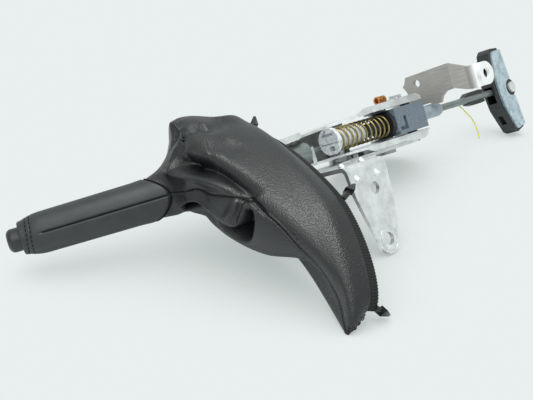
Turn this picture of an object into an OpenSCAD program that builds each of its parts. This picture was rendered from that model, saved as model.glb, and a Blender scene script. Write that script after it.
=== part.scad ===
// Car parking brake lever with ratchet, spring cable adjuster, cable equaliser and leather gaiter.
// Millimetres. The lever lies on its side: +X runs from the grip to the cable equaliser,
// +Y is the car's up (the mounting faces look to -Y) and +Z is the line of the lever pivot.
// The origin is the inner front bolt hole, on the mounting face.

/* [Mounting] */
// Diameter of the bolt holes
bolt_hole_d = 9; // [8:0.5:10]
// Thickness of the bracket sheet
sheet_t = 3; // [2.5:0.1:3]
// Distance from the inner to the outer front bolt
front_bolt_pitch = 37; // [35:1:40]
// Distance along the lever from the front bolts to the rear bolt
rear_bolt_run = 168; // [166:1:170]

/* [Lever] */
// Outer diameter of the lever tube
tube_d = 18; // [17:0.2:18]
// Wall of the lever tube
tube_wall = 1.5; // [1.2:0.1:1.6]
// Upward bend of the lever tube in degrees
grip_angle = 30; // [28:1:31]
// Largest diameter of the leather grip
grip_d = 30.5; // [29.5:0.5:31.5]
// Smallest diameter of the leather grip
grip_front_d = 28.5; // [28:0.5:29]
// Length of the leather grip
grip_len = 92; // [88:1:94]
// Wall of the lever channel
channel_wall = 2; // [1.8:0.1:2.2]
// Width of the channel's outward lips
lip_w = 3; // [2:0.5:3]
// Diameter of the lever pivot pin
pivot_d = 12; // [10:0.5:12]

/* [Release] */
// Diameter of the push button
button_d = 16.5; // [15:0.5:16.5]
// Diameter of the push rod
push_d = 5; // [4:0.5:5]
// Diameter of the release rod
release_d = 4; // [3.5:0.1:4]
// Coils of the button spring
button_coils = 6; // [5:1:7]

/* [Ratchet] */
// Radius over the ratchet teeth
sector_r = 40; // [39:0.5:40]
// Angle from tooth to tooth in degrees
tooth_pitch = 3; // [3:1:3]
// Height of a ratchet tooth
tooth_h = 2.2; // [1.6:0.2:2.4]

/* [Adjuster] */
// Outer diameter of the adjuster spring
spring_d = 19; // [18:0.2:19]
// Wire of the adjuster spring
spring_wire = 1.6; // [1.4:0.1:1.8]
// Coils of the adjuster spring
spring_coils = 11; // [9:1:12]
// Diameter of the white spring seat
seat_d = 21; // [20.6:0.2:21.4]
// Diameter of the pull rod
rod_d = 6; // [5.5:0.1:6]
// Width of the adjuster housing
housing_w = 22; // [20:0.5:22.5]
// Diameter of the adjuster nose
nose_d = 12; // [12:0.5:13.5]

/* [Equaliser] */
// Half length of the equaliser plates
equaliser_half = 37; // [35:1:38]
// Thickness of an equaliser plate
equaliser_t = 2; // [1.6:0.2:2.2]

/* [Gaiter] */
// Thickness of the gaiter leather
leather_t = 1.6; // [1.4:0.1:2]
// Width of the hem band
hem_w = 7; // [6:0.5:8]

/* [Hidden] */
$fn = 48;
running = 0.05;   // radial clearance of a pin that turns in its hole
snug = 0.02;      // radial clearance of a pin fixed in its hole
free = 0.3;       // gap between pieces that pass each other
shift = [30, 60, 39];
P = [95, 30];     // lever pivot
T = [100, 0];     // adjuster trunnions
Q = [37, 34];     // pawl pivot
tube_y = 14;
tube_z = -3.3;
bend_r = 80;
bend_x = -70;
E0 = [bend_x - bend_r*sin(grip_angle), tube_y + bend_r*(1 - cos(grip_angle)), tube_z];
wall_in = 12.5;   // half width inside the channel
wall_out = wall_in + channel_wall;
plate_z = -19;    // inner face of the bracket side wall
face_y = -60;     // mounting face
steel = [0.78, 0.79, 0.79];
dark = [0.12, 0.13, 0.14];
grey = [0.55, 0.56, 0.55];
hide = [0.17, 0.18, 0.18];

module place() { translate(shift) children(); }
// local +Z runs forward along the grip, s from the end of the bend
module along_grip(s) {
  translate(E0) rotate([0, 0, 180 - grip_angle]) rotate([0, 90, 0]) translate([0, 0, s]) children();
}
// local +Z along +X
module along_x(x, y = 0, z = 0) { translate([x, y, z]) rotate([0, 90, 0]) children(); }
// local +Z along -Y, local x = X, local y = Z
module facing_down(y) { translate([0, y, 0]) rotate([90, 0, 0]) children(); }
module ring(ro, ri, h) { difference() { cylinder(r = ro, h = h); translate([0, 0, -1]) cylinder(r = ri, h = h + 2); } }
function unit(v) = v/norm(v);
function tri_quads(rows, n) = [for (k = [0:rows - 2], i = [0:n - 1]) each
  [[k*n + i, k*n + (i + 1)%n, (k + 1)*n + i], [k*n + (i + 1)%n, (k + 1)*n + (i + 1)%n, (k + 1)*n + i]]];
// round tube along a list of points, closed at both ends
module wire_tube(pts, r, n) {
  m = len(pts);
  frames = [for (i = [0:m - 1]) let(
    t = unit(pts[min(i + 1, m - 1)] - pts[max(i - 1, 0)]),
    a = unit(cross(t, abs(t[1]) < 0.9 ? [0, 1, 0] : [1, 0, 0]))) [a, cross(t, a)]];
  ps = [for (i = [0:m - 1], k = [0:n - 1])
    pts[i] + r*(cos(360*k/n)*frames[i][0] + sin(360*k/n)*frames[i][1])];
  fs = concat([for (f = tri_quads(m, n)) [f[0], f[2], f[1]]],
    [for (k = [1:n - 2]) [0, k, k + 1]],
    [for (k = [1:n - 2]) [(m - 1)*n, (m - 1)*n + k + 1, (m - 1)*n + k]]);
  polyhedron(ps, fs);
}
function helix(r, z0, z1, coils, per) = [for (i = [0:coils*per])
  [r*cos(360*i/per), r*sin(360*i/per), z0 + (z1 - z0)*i/(coils*per)]];

// bracket: side wall with the pivot, front foot with two bolt holes, pressed from one sheet
foot_x = -30;
foot_z1 = -39;
foot_z2 = foot_z1 - front_bolt_pitch;
bend_o = 6;
module bracket() color(steel) place() difference() {
  union() {
    translate([0, 0, plate_z - sheet_t]) linear_extrude(sheet_t) {
      polygon([[-53, face_y + bend_o], [-12, face_y + bend_o], [-9, -40], [-2, -12], [10, 8], [26, 17],
        [leg_x, 17], [leg_x, 42], [112, 52], [80, 62], [52, 58], [10, 36], [-30, 8], [-53, -20]]);
    }
    // quarter bend into the foot
    translate([-53, face_y + bend_o, plate_z - bend_o]) rotate([0, 90, 0])
      linear_extrude(41) intersection() {
        difference() { circle(r = bend_o); circle(r = bend_o - sheet_t); }
        translate([-20, -20]) square([20, 20]);
      }
    facing_down(face_y + sheet_t) linear_extrude(sheet_t) {
      polygon([[-53, plate_z - bend_o], [-51, -41], [-44, -66], [-40.4, foot_z2 - 1.5], [-20, foot_z2 + 2.8],
        [-16, -64], [-13, -44], [-12, plate_z - bend_o]]);
      translate([foot_x, foot_z2]) circle(r = 10.5);
    }
    // stiffening darts across the bend
    for (x = [-45, -24]) translate([x, face_y + 5.6, plate_z - 5.6]) rotate([-45, 0, 0]) translate([0, 0, -9])
      cylinder(r = 2.6, h = 18);
  }
  translate([foot_x, face_y - 1, foot_z1]) rotate([-90, 0, 0]) cylinder(d = bolt_hole_d, h = 8);
  translate([foot_x, face_y - 1, foot_z2]) rotate([-90, 0, 0]) cylinder(d = bolt_hole_d, h = 8);
  translate([foot_x, face_y - 1, foot_z2]) rotate([-90, 0, 0]) ring(9, 8.2, 1.3);
  translate([P[0], P[1], plate_z - sheet_t - 1]) cylinder(r = pivot_d/2 + snug, h = sheet_t + 2);
}

// rear leg: upright cross plate round the nose, jogged and bent into the rear bolt tab
leg_x = 126;
jog = 4;
tab_x = foot_x + rear_bolt_run;
tab_z = 17.7;
module leg_outline() {
  polygon([[42, plate_z - sheet_t], [42, 4], [36, 12], [13, 15.4], [14, 18.6], [16, 23.4], [18, 26.3], [15, 29],
    [12.6, 33.7], [-32.6, 34.6], [-47, 27.3], [-57, 27.3], [-57, 8], [-48, 8], [-43, 9.2], [-34, 13],
    [-25, 12.5], [-20, 9.3], [-17, 4.4],
    [-8, 5.2], [-6.5, nose_d/2 + 0.8], [8, nose_d/2 + 0.8], [17, -2], [17, plate_z - sheet_t]]);
}
module rear_leg() color(grey) place() {
  difference() {
    intersection() {
      rotate([90, 0, 90]) translate([0, 0, leg_x]) linear_extrude(40) leg_outline();
      translate([0, 0, -60]) linear_extrude(120) polygon([[leg_x, 50], [leg_x + sheet_t, 50],
        [leg_x + sheet_t, -34], [leg_x + sheet_t + jog, -46], [leg_x + sheet_t + jog, -54],
        [leg_x + sheet_t + jog + 0.9, -56.1], [leg_x + sheet_t + jog + 3, -57], [leg_x + jog + 6, -60],
        [leg_x + jog + 1.8, -58.2], [leg_x + jog, -54], [leg_x + jog, -46], [leg_x, -33]]);
    }
    along_x(leg_x - 1, 2.4, 25.9) cylinder(d = 6.5, h = 6);
    along_x(leg_x - 1, 19.5, 20) cylinder(r = 3.6, h = 6);
  }
  difference() {
    facing_down(face_y + sheet_t) linear_extrude(sheet_t) {
      translate([leg_x + jog + 5, 8]) square([tab_x - leg_x - jog - 5, 19.3]);
      translate([tab_x, 17.65]) circle(r = 9.65);
    }
    translate([tab_x, face_y - 1, tab_z]) rotate([-90, 0, 0]) cylinder(d = bolt_hole_d, h = sheet_t + 2);
  }
  // bent edge that meets the side wall
  translate([leg_x - 15, 17, plate_z]) cube([15 + sheet_t, 20, 2]);
}

// ratchet: toothed sector on the side wall, centred on the pivot
tooth_a0 = 130;
tooth_n = 11;
module ratchet_sector() color(steel*0.85) place()
  translate([P[0], P[1], plate_z]) linear_extrude(3) difference() {
    union() {
      circle(r = 14);
      polygon(concat([[0, 0]], [for (i = [0:tooth_n - 1]) let(a = tooth_a0 + tooth_pitch*i) each
          [sector_r*[cos(a), sin(a)], (sector_r - tooth_h)*[cos(a + 0.4), sin(a + 0.4)]]],
        [for (a = [tooth_a0 + tooth_pitch*tooth_n : 4 : 196]) sector_r*[cos(a), sin(a)]]));
    }
    circle(r = pivot_d/2 + snug);
  }

pin_top = 16.6;
module pivot_pin() color(steel*0.7) place() translate([P[0], P[1], 0]) {
  translate([0, 0, plate_z - sheet_t]) cylinder(d = pivot_d, h = pin_top - plate_z + sheet_t);
  translate([0, 0, plate_z - sheet_t - 3]) cylinder(d = pivot_d + 6, h = 3);
}
module pivot_clip() color(dark) place() translate([P[0], P[1], wall_out + free])
  ring(pivot_d/2 + 3, pivot_d/2 + snug, 1.4);

// lever channel: two walls and a sloping web, open to -Y, with lips along the open edge
up0 = 8.6;       // outer face of the upper wall at the front end
front_x = -52;
rear_x = 112;
taper_x = 45;
slot_y = tube_y;
module side_outline() {
  polygon([[front_x, 3], [-26, 3], [-14, 12], [14, 12], [30, -9], [rear_x, -9], [rear_x, 34],
    [104, 42], [60, 44], [front_x, 27]]);
  translate(P) circle(r = 15);
}
module lever_channel() color(steel) place() difference() {
  union() {
    difference() {
      intersection() {
        translate([0, 0, -30]) linear_extrude(60) side_outline();
        translate([0, 80, 0]) rotate([90, 0, 0]) linear_extrude(120) polygon([[front_x - 1, -wall_out],
          [rear_x + 1, -wall_out], [rear_x + 1, wall_out], [taper_x, wall_out], [front_x - 1, up0]]);
      }
      intersection() {
        translate([0, 0, -30]) linear_extrude(60) polygon([[front_x + 3, -30], [front_x + 3, 25.4],
          [66, 42.9], [66, 90], [rear_x + 9, 90], [rear_x + 9, -30]]);
        translate([0, 100, 0]) rotate([90, 0, 0]) linear_extrude(140) polygon([[front_x + 3, -wall_in],
          [rear_x + 9, -wall_in], [rear_x + 9, wall_in], [taper_x + 0.1, wall_in],
          [front_x + 3, up0 + 0.24 - channel_wall]]);
      }
    }
    // lips
    facing_down(-7) linear_extrude(2) {
      polygon([[31, wall_out - 1], [31, wall_out], [40, wall_out + lip_w], [rear_x - 6, wall_out + lip_w + 1],
        [rear_x, wall_out + lip_w - 2], [rear_x, wall_out - 1]]);
      polygon([[31, 1 - wall_out], [31, -wall_out], [40, -wall_out - lip_w], [80, -wall_out - lip_w],
        [90, -wall_out - lip_w - 2], [103, -wall_out - lip_w - 2.2], [107, -wall_out - lip_w - 1],
        [rear_x - 2, -wall_out - 0.5], [rear_x - 1, 1 - wall_out]]);
    }
    facing_down(5) linear_extrude(2) {
      polygon([[front_x, up0 - 1], [-24, up0 + 0.6], [-24, up0 + 1.7 + lip_w], [front_x, up0 + lip_w]]);
      polygon([[front_x, 1 - wall_out], [-24, 1 - wall_out], [-24, -wall_out - lip_w], [front_x, -wall_out - lip_w + 1]]);
    }
    // guides of the release rod
    for (x = [-11, 20]) translate([x, tube_y - 3.4, -wall_in - 0.5]) cube([4, 6.8, wall_in + tube_z + 3.9]);
    // small upright tab with a hole behind the switch
    translate([97, 10, wall_out - 0.5]) cube([14, 2, 7.5]);
  }
  along_x(front_x - 1, tube_y, tube_z) cylinder(r = tube_d/2 + snug, h = 5);
  along_x(front_x - 9, tube_y, tube_z) cylinder(r = release_d/2 + running, h = 90);
  translate([P[0], P[1], -30]) cylinder(r = pivot_d/2 + 1.6 + snug, h = 60);
  translate([T[0], T[1], -30]) cylinder(r = 4 + running, h = 60);
  translate([Q[0], Q[1], -30]) cylinder(r = 3 + snug, h = 25);
  translate([28.5, slot_y - 2.4, -20]) cube([14, 4.8, 10]);
  translate([106, 20, wall_out + 3.6]) rotate([90, 0, 0]) cylinder(d = 4.6, h = 20);
}

// lever tube: straight in the channel, bent up to the grip
tube_front = 112;
tube_rear = -15;
gd = [-cos(grip_angle), sin(grip_angle), 0];
tube_path = concat([[tube_rear, tube_y, tube_z]],
  [for (a = [0:grip_angle/10:grip_angle]) [bend_x - bend_r*sin(a), tube_y + bend_r*(1 - cos(a)), tube_z]],
  [E0 + tube_front*gd]);
tube_m = len(tube_path);
tube_n = 32;
function tube_dir(i) = unit(tube_path[min(i + 1, tube_m - 1)] - tube_path[i == 0 ? 0 : i - 1]);
function tube_pt(i, r, k) = let(t = i < 2 ? [-1, 0, 0] : i > tube_m - 3 ? gd : tube_dir(i))
  tube_path[i] + r*(cos(360*k/tube_n)*[-t[1], t[0], 0] + sin(360*k/tube_n)*[0, 0, 1]);
module lever_tube() color(steel*0.6) place() {
  ps = concat([for (i = [0:tube_m - 1], k = [0:tube_n - 1]) tube_pt(i, tube_d/2, k)],
    [for (i = [tube_m - 1:-1:0], k = [0:tube_n - 1]) tube_pt(i, tube_d/2 - tube_wall, k)]);
  fs = concat(tri_quads(2*tube_m, tube_n), [for (i = [0:tube_n - 1]) let(
    a = (2*tube_m - 1)*tube_n + i, b = (2*tube_m - 1)*tube_n + (i + 1)%tube_n, c = i, d = (i + 1)%tube_n)
    each [[a, b, c], [b, d, c]]]);
  polyhedron(ps, [for (f = fs) [f[0], f[2], f[1]]]);
}
module pivot_bush() color([0.85, 0.85, 0.8]) place() translate([P[0], P[1], 0]) for (m = [0, 1]) mirror([0, 0, m]) {
  translate([0, 0, wall_in]) ring(pivot_d/2 + 1.6, pivot_d/2 + running, channel_wall);
  translate([0, 0, wall_in - 1.5]) ring(pivot_d/2 + 4, pivot_d/2 + running, 1.5);
}
module pawl_pin() color(steel*0.7) place() translate([Q[0], Q[1], 0]) {
  translate([0, 0, plate_z + 0.3]) cylinder(r = 3, h = -wall_in - plate_z);
  translate([0, 0, -wall_in]) cylinder(r = 4.2, h = 1.8);
}

// grip: core pressed on the tube, leather sleeve, end ring round the button
grip_s0 = 30;
grip_s1 = grip_s0 + grip_len;
module grip_core() color(dark) place() along_grip(grip_s0 + 2) ring(13, tube_d/2 + snug, grip_len - 2);
module grip_leather() color(hide) place() along_grip(grip_s0) difference() {
  cylinder(r1 = grip_d/2, r2 = grip_front_d/2, h = grip_len);
  translate([0, 0, -1]) cylinder(r = 13 + snug, h = grip_len + 2);
}
module grip_ring() color(hide) place() along_grip(grip_s1) rotate_extrude() {
  difference() {
    union() {
      translate([button_d/2 + free, 0]) square([grip_front_d/2 - button_d/2 - free, 4]);
      translate([button_d/2 + free, 0]) square([grip_front_d/2 - button_d/2 - free - 4, 8]);
      translate([grip_front_d/2 - 4, 4]) circle(r = 4);
    }
    translate([-50, -50]) square([50 + button_d/2 + free, 100]);
  }
}
module spring_stop() color(steel*0.6) place() along_grip(58) ring(tube_d/2 - tube_wall - 0.1, push_d/2 + 0.5, 2);

// button, push rod and its spring
button_s = grip_s1 - 1;
module button() color(dark) place() along_grip(button_s) difference() {
  rotate_extrude() {
    square([button_d/2, 13]);
    square([button_d/2 - 4, 17]);
    translate([button_d/2 - 4, 13]) intersection() { circle(r = 4); square(9); }
  }
  translate([0, 0, -1]) cylinder(r = push_d/2 + snug, h = 9);
}
push_s0 = -16;
module push_rod() color(grey) place() {
  along_grip(push_s0) cylinder(d = push_d, h = button_s + 7.5 - push_s0);
  along_grip(push_s0) cylinder(r = 4.5, h = 2.5);
  along_grip(84) cylinder(r = tube_d/2 - tube_wall - 1, h = 2);
}
module button_spring() color(grey) place() along_grip(0)
  wire_tube(helix(4.9, 61, 83, button_coils, 20), 0.6, 6);

// release rod with the finger that reaches through the channel wall to the pawl
finger_x = Q[0] - 3 - 0.4;
release_x0 = E0[0] + push_s0*gd[0] + 0.15;
module release_rod() color(grey) place() {
  along_x(release_x0, tube_y, tube_z) cylinder(d = release_d, h = finger_x - release_x0);
  translate([finger_x - 3, tube_y - 1.5, plate_z + 0.8]) cube([3, 3, tube_z - plate_z + 1]);
}
tip_a = 165;
module pawl() color(steel*0.75) place() translate([0, 0, plate_z + free]) difference() {
  union() {
    translate([Q[0], Q[1], 0]) cylinder(r = 6, h = 3);
    linear_extrude(3) polygon([Q + [0, 4], P + (sector_r + 8)*[cos(160), sin(160)],
      P + (sector_r + 0.4)*[cos(tip_a), sin(tip_a)], P + (sector_r + 8)*[cos(172), sin(172)], Q + [1, -4]]);
    translate([Q[0] - 3, Q[1] - 23, 0]) cube([6, 19, 3]);
  }
  translate([Q[0], Q[1], -1]) cylinder(r = 3 + running, h = 5);
}

// switch on the upper channel wall
module switch_body() color([0.55, 0.66, 0.75]) place() translate([91.4, 8, wall_out]) cube([5.3, 8, 4.6]);
module switch_contact() color([0.72, 0.45, 0.2]) place() {
  translate([86, 13, wall_out]) cylinder(r = 1.5, h = 4);
  along_x(82, 13, wall_out + 6.4) ring(3.4, 2, 9);
}

// adjuster: housing on trunnions in the channel, nose, washer and spring guide
hx0 = 70.3;
hx1 = 109;
sleeve_r = 5;
washer_x = hx0 - 4;
nose_len = 36.5;
module adjuster_housing() color([0.36, 0.4, 0.44]) place() difference() {
  union() {
    translate([hx0, -11.5, -housing_w/2]) cube([hx1 - hx0, 23, housing_w]);
    translate([hx1 - 0.5, -9, -9.5]) cube([3, 16, 3]);
    for (s = [-1, 1]) translate([T[0], T[1], s*10 - (s < 0 ? 5.2 : 0)]) cylinder(r = 4, h = 5.2);
  }
  along_x(hx0 - 1) cylinder(r = sleeve_r + snug, h = 9);
  along_x(hx0) cylinder(r = rod_d/2 + 0.5, h = 60);
  along_x(hx1 - 6) cylinder(r = nose_d/2 + snug, h = 10);
  translate([hx0 + 9.7, -12.5, -8]) cube([3.4, 4, 11]);
  translate([hx0 + 3.2, -12.5, -8]) cube([9, 4, 3]);
  translate([hx0 - 1, -12.5, -housing_w/2 - 1]) cube([2.6, 30, 3.5]);
}
module adjuster_nose() color([0.38, 0.43, 0.44]) place() difference() {
  union() {
    along_x(hx1 - 6) cylinder(d = nose_d, h = nose_len);
    along_x(hx1 - 6 + nose_len) cylinder(r1 = nose_d/2, r2 = nose_d/2 - 1.2, h = 3.5);
  }
  along_x(hx0) cylinder(r = rod_d/2 + 0.1, h = 80);
}
module spring_washer() color(dark) place() along_x(washer_x) ring(11, sleeve_r + 0.1, 3.7);
module guide_sleeve() color(dark) place() along_x(34) ring(sleeve_r, rod_d/2 + 0.08, hx0 + 7.7 - 34);
module adjuster_spring() color([0.62, 0.55, 0.3]) place() along_x(0)
  wire_tube(helix(spring_d/2 - spring_wire/2, 4 + spring_wire/2 + free, washer_x - spring_wire/2 - free, spring_coils, 24),
    spring_wire/2, 8);

// pull rod with the spring seat at its front end and the eye for the equaliser
eye_x = 247;
module pull_rod() color([0.42, 0.45, 0.45]) place() difference() {
  union() {
    along_x(2) cylinder(d = rod_d, h = eye_x - 7);
    translate([eye_x, 4, 0]) rotate([90, 0, 0]) cylinder(r = 6.5, h = 8);
  }
  translate([eye_x, 9, 0]) rotate([90, 0, 0]) cylinder(r = 3 + running, h = 18);
}
module spring_seat() color([0.86, 0.87, 0.88]) place() difference() {
  union() {
    along_x(0) cylinder(d = seat_d, h = 4);
    along_x(3.9) cylinder(d = 14.4, h = 32.1);
  }
  along_x(1.6) cylinder(r = rod_d/2 + snug, h = 9);
  along_x(5) cylinder(r = sleeve_r + free, h = 40);
  translate([-1, -6, 4]) cube([3, 12, 2]);
  translate([-1, 1, 4]) cube([3, 2.4, 5]);
  translate([-1, -9, -2.4]) cube([1.9, 18, 0.9]);
  translate([-1, -4.4, -7.8]) cube([6, 6.4, 3.6]);
}
module rod_clip() color(dark) place() difference() {
  union() {
    facing_down(4.5) linear_extrude(6) polygon([[182, 3], [188, 6], [206, 6.4], [211, 5.6], [211, -3],
      [211, -5.4], [204, -6], [192, -6], [185, -4.4]]);
  }
  along_x(170) cylinder(r = rod_d/2 + running, h = 60);
  translate([170, -9, -rod_d/2]) cube([60, 9, rod_d]);
}
wire_pts = [[172.5, 0, -3.7], [174, -0.5, -4.6], [176, -1, -7], [178, -1.5, -10.4], [180.4, -2, -13.6],
  [182.6, -2, -16.6], [184.4, -2, -19.6], [185.6, -2, -23], [186.2, -2, -26.4], [186.4, -2, -29.6],
  [186.2, -2, -32.8], [185.8, -2, -36]];
module wire() color([0.75, 0.75, 0.2]) place() wire_tube(wire_pts, 0.55, 8);

// equaliser: two plates round a black insert, swinging on a pin through the rod's eye
tilt = -7;
module at_pin() { place() translate([eye_x, 0, 0]) rotate([0, tilt, 0]) children(); }
plate_y = 6.5;
module plate_outline(h, n) difference() {
  polygon([[3, -h], [3, h], [-9, h + 1], [-11, h], [-18.5, 14], [-19.5, 0], [-18.5, -14], [-11, -h], [-9, -h - 1]]);
  circle(r = n);
  translate([0, -8.5]) square([4, 17]);
}
module equaliser_plate_near() color([0.7, 0.77, 0.8]) at_pin() facing_down(-plate_y)
  linear_extrude(equaliser_t) plate_outline(equaliser_half, 7.6);
module equaliser_plate_far() color([0.7, 0.77, 0.8]) at_pin() facing_down(plate_y + equaliser_t)
  linear_extrude(equaliser_t) plate_outline(equaliser_half, 7.6);
module equaliser_insert() color(dark) at_pin() difference() {
  union() {
    facing_down(plate_y) linear_extrude(2*plate_y) {
      polygon([[2, -equaliser_half - 2], [2, equaliser_half + 2], [-9, equaliser_half + 4],
        [-14, equaliser_half + 1], [-23, 14], [-24, 0], [-23, -14], [-14, -equaliser_half - 1],
        [-9, -equaliser_half - 4]]);
      circle(r = 9);
    }
    facing_down(plate_y + equaliser_t) cylinder(r = 7, h = 2*(plate_y + equaliser_t));
  }
  facing_down(20) cylinder(r = 3 + snug, h = 40);
  facing_down(4.4) cylinder(r = 7, h = 8.8);
  translate([-40, -4.4, -8]) cube([40, 8.8, 16]);
  for (s = [-1, 1]) translate([-40, -2.5, s*26 - 4.5]) cube([60, 5, 9]);
}
module equaliser_pin() color(steel) at_pin() {
  facing_down(plate_y + equaliser_t) cylinder(r = 3, h = 2*(plate_y + equaliser_t));
  for (y = [plate_y + equaliser_t + 1.8, -plate_y - equaliser_t]) facing_down(y) cylinder(r = 5, h = 1.8);
}

// gaiter: leather shell from the grip collar to the hem; its lower corner hangs down as a horn
function sup(c, p) = sign(c)*pow(abs(c), 2/p);
gn = [sin(grip_angle), cos(grip_angle), 0];
collar_r = grip_d/2 + free + leather_t;
function collar(s, r) = [E0 + s*gd + [0, 0, r], E0 + s*gd - r*gn, E0 + s*gd - [0, 0, r], E0 + s*gd + r*gn, 2, 0];
// each loop: top, near side, bottom, far side, squareness, how much wider the far side is towards the top
loops = [
  collar(31, collar_r),
  collar(23, collar_r + 0.8),
  [[-124, 25, 36], [-139, 0, 4], [-128, 7, -21], [-114, 52, 4], 2, 0],
  [[-118, 27, 46], [-137, -16, -3], [-124, -7, -42], [-105, 44, 2], 1.9, 0.2],
  [[-108, 20, 46], [-133, -39, -13], [-122, -34, -57], [-97, 38, -4], 1.9, 0.4],
  [[-92, 14, 41], [-125, -60, -24], [-120, -65, -70], [-91, 26, -15], 1.8, 0.6],
  [[-76, 12, 37], [-114, -73, -31], [-126, -85, -93], [-91, 8, -30], 1.75, 0.8],
  [[-68, 12, 31], [-103, -82, -34], [-132, -98, -111], [-91, 0, -44], 1.7, 0.8],
  [[-63, 13, 24], [-90, -81, -35], [-118, -105, -106], [-84, -3, -44], 1.7, 0.8]];
function pull_in(v, d) = v*(1 - d/norm(v));
function loop_pt(l, t, inset) = let(C = (l[0] + l[2])/2, c = sup(cos(t), l[4]), w = sup(sin(t), l[4]))
  C + c*pull_in((l[0] - l[2])/2, inset)
  + (w > 0 ? w*pull_in(l[1] - C, inset) : -w*(1 + l[5]*cos(t))*pull_in(l[3] - C, inset));
loop_n = 36;
sub = 3;
function loop_mix(u) = let(k = min(floor(u), len(loops) - 2), f = u - k) loops[k]*(1 - f) + loops[k + 1]*f;
rows = (len(loops) - 1)*sub;
module gaiter() color(hide) place() {
  outer = [for (r = [0:rows], i = [0:loop_n - 1]) loop_pt(loop_mix(r/sub), 360*i/loop_n, 0)];
  inner = [for (r = [rows:-1:0], i = [0:loop_n - 1]) loop_pt(loop_mix(r/sub), 360*i/loop_n, leather_t)];
  m = 2*(rows + 1);
  fs = concat(tri_quads(m, loop_n), [for (i = [0:loop_n - 1]) let(a = (m - 1)*loop_n + i,
    b = (m - 1)*loop_n + (i + 1)%loop_n, c = i, d = (i + 1)%loop_n) each [[a, b, c], [b, d, c]]]);
  polyhedron(concat(outer, inner), fs);
}
hem = loops[len(loops) - 1];
hem_n = unit(cross(hem[0] - hem[2], hem[1] - (hem[0] + hem[2])/2));
hem_t = 3;
module hem_band() color(dark) place() {
  rows4 = [for (q = [[0.2, 0], [0.2, hem_t], [hem_w, hem_t], [hem_w, 0]], i = [0:47])
    loop_pt(hem, 360*i/48, q[1]) + q[0]*hem_n];
  fs = concat(tri_quads(4, 48), [for (i = [0:47]) let(a = 3*48 + i, b = 3*48 + (i + 1)%48, c = i, d = (i + 1)%48)
    each [[a, b, c], [b, d, c]]]);
  polyhedron(rows4, [for (f = fs) [f[0], f[2], f[1]]]);
}
// arrow-head clips behind the hem band
clip_at = [-11, 88, 168];
clip_out = [1.5, 0, 0];   // the band turns sharply under the top clip
module hem_clips() color(dark) place() for (k = [0:len(clip_at) - 1])
  translate(loop_pt(hem, clip_at[k], hem_t/2) + (hem_w + 1.2 + clip_out[k])*hem_n) {
    translate([0, -6, -2]) cube([3, 9, 4]);
    translate([1.5, -4.6, 0]) rotate([90, 0, 0]) linear_extrude(1.8) square([3, 8], center = true);
    translate([1.5, -6, 0]) rotate([90, 0, 0]) cylinder(r1 = 4.4, r2 = 1.2, h = 7);
  }

bracket();
rear_leg();
ratchet_sector();
pivot_pin();
pivot_clip();
lever_channel();
lever_tube();
pivot_bush();
pawl_pin();
grip_core();
grip_leather();
grip_ring();
gaiter();
hem_band();
hem_clips();
spring_stop();
switch_body();
switch_contact();
button();
push_rod();
button_spring();
release_rod();
pawl();
adjuster_housing();
adjuster_nose();
spring_washer();
guide_sleeve();
adjuster_spring();
pull_rod();
spring_seat();
rod_clip();
wire();
equaliser_plate_near();
equaliser_plate_far();
equaliser_insert();
equaliser_pin();
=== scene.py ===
import math

import bpy
import numpy as np
from mathutils import Matrix, Vector


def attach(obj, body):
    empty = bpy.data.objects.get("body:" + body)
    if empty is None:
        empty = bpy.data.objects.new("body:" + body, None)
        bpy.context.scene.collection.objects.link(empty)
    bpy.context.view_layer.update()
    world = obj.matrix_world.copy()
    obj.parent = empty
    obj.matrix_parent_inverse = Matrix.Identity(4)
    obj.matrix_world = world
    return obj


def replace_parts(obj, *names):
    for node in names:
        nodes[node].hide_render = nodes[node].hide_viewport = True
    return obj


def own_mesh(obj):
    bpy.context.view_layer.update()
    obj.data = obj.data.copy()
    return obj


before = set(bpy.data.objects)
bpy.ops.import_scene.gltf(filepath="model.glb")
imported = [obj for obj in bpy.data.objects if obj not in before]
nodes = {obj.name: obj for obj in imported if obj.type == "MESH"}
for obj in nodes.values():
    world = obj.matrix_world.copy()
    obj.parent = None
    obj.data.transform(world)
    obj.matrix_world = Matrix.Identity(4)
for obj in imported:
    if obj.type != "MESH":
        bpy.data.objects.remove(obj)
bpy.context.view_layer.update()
bpy.ops.object.select_all(action="DESELECT")


# Camera: a product photograph of the lever lying on its side on a table, taken
# from the grip's end, a little above the gaiter, with a longish lens.
camera_right = Vector((0.71443, -0.64045, -0.2818))
camera_up = Vector((0.24481, -0.14848, 0.95813))
camera_back = Vector((-0.65548, -0.75351, 0.05071))
camera_place = Vector((-0.4672, -0.4228, 0.0448))
camera_data = bpy.data.cameras.new("photo_camera")
camera_data.lens = 60.79
camera_data.sensor_width = 36
camera = bpy.data.objects.new("photo_camera", camera_data)
bpy.context.scene.collection.objects.link(camera)
camera_axes = Matrix((camera_right, camera_up, camera_back)).transposed()
camera.matrix_world = Matrix.Translation(camera_place) @ camera_axes.to_4x4()
bpy.context.scene.camera = camera
bpy.context.scene.view_settings.view_transform = "Standard"


# Table: a plain pale sheet of card under the part, which lies on it on its side,
# with soft light from overhead and a paler fill from the grip's end.
def linear(colour):
    """An sRGB hex colour as the linear colour that a shader takes."""
    parts = [int(colour[i:i + 2], 16)/255 for i in (1, 3, 5)]
    return [c/12.92 if c <= 0.04045 else ((c + 0.055)/1.055)**2.4 for c in parts] + [1]


def add(tree, kind, inputs=None, **settings):
    """Adds one node: its settings, then a value or a link for each named input."""
    node = tree.nodes.new(kind)
    for name, value in settings.items():
        setattr(node, name, value)
    for key, value in (inputs or {}).items():
        if isinstance(value, bpy.types.NodeSocket):
            tree.links.new(value, node.inputs[key])
        else:
            node.inputs[key].default_value = value
    return node


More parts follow.
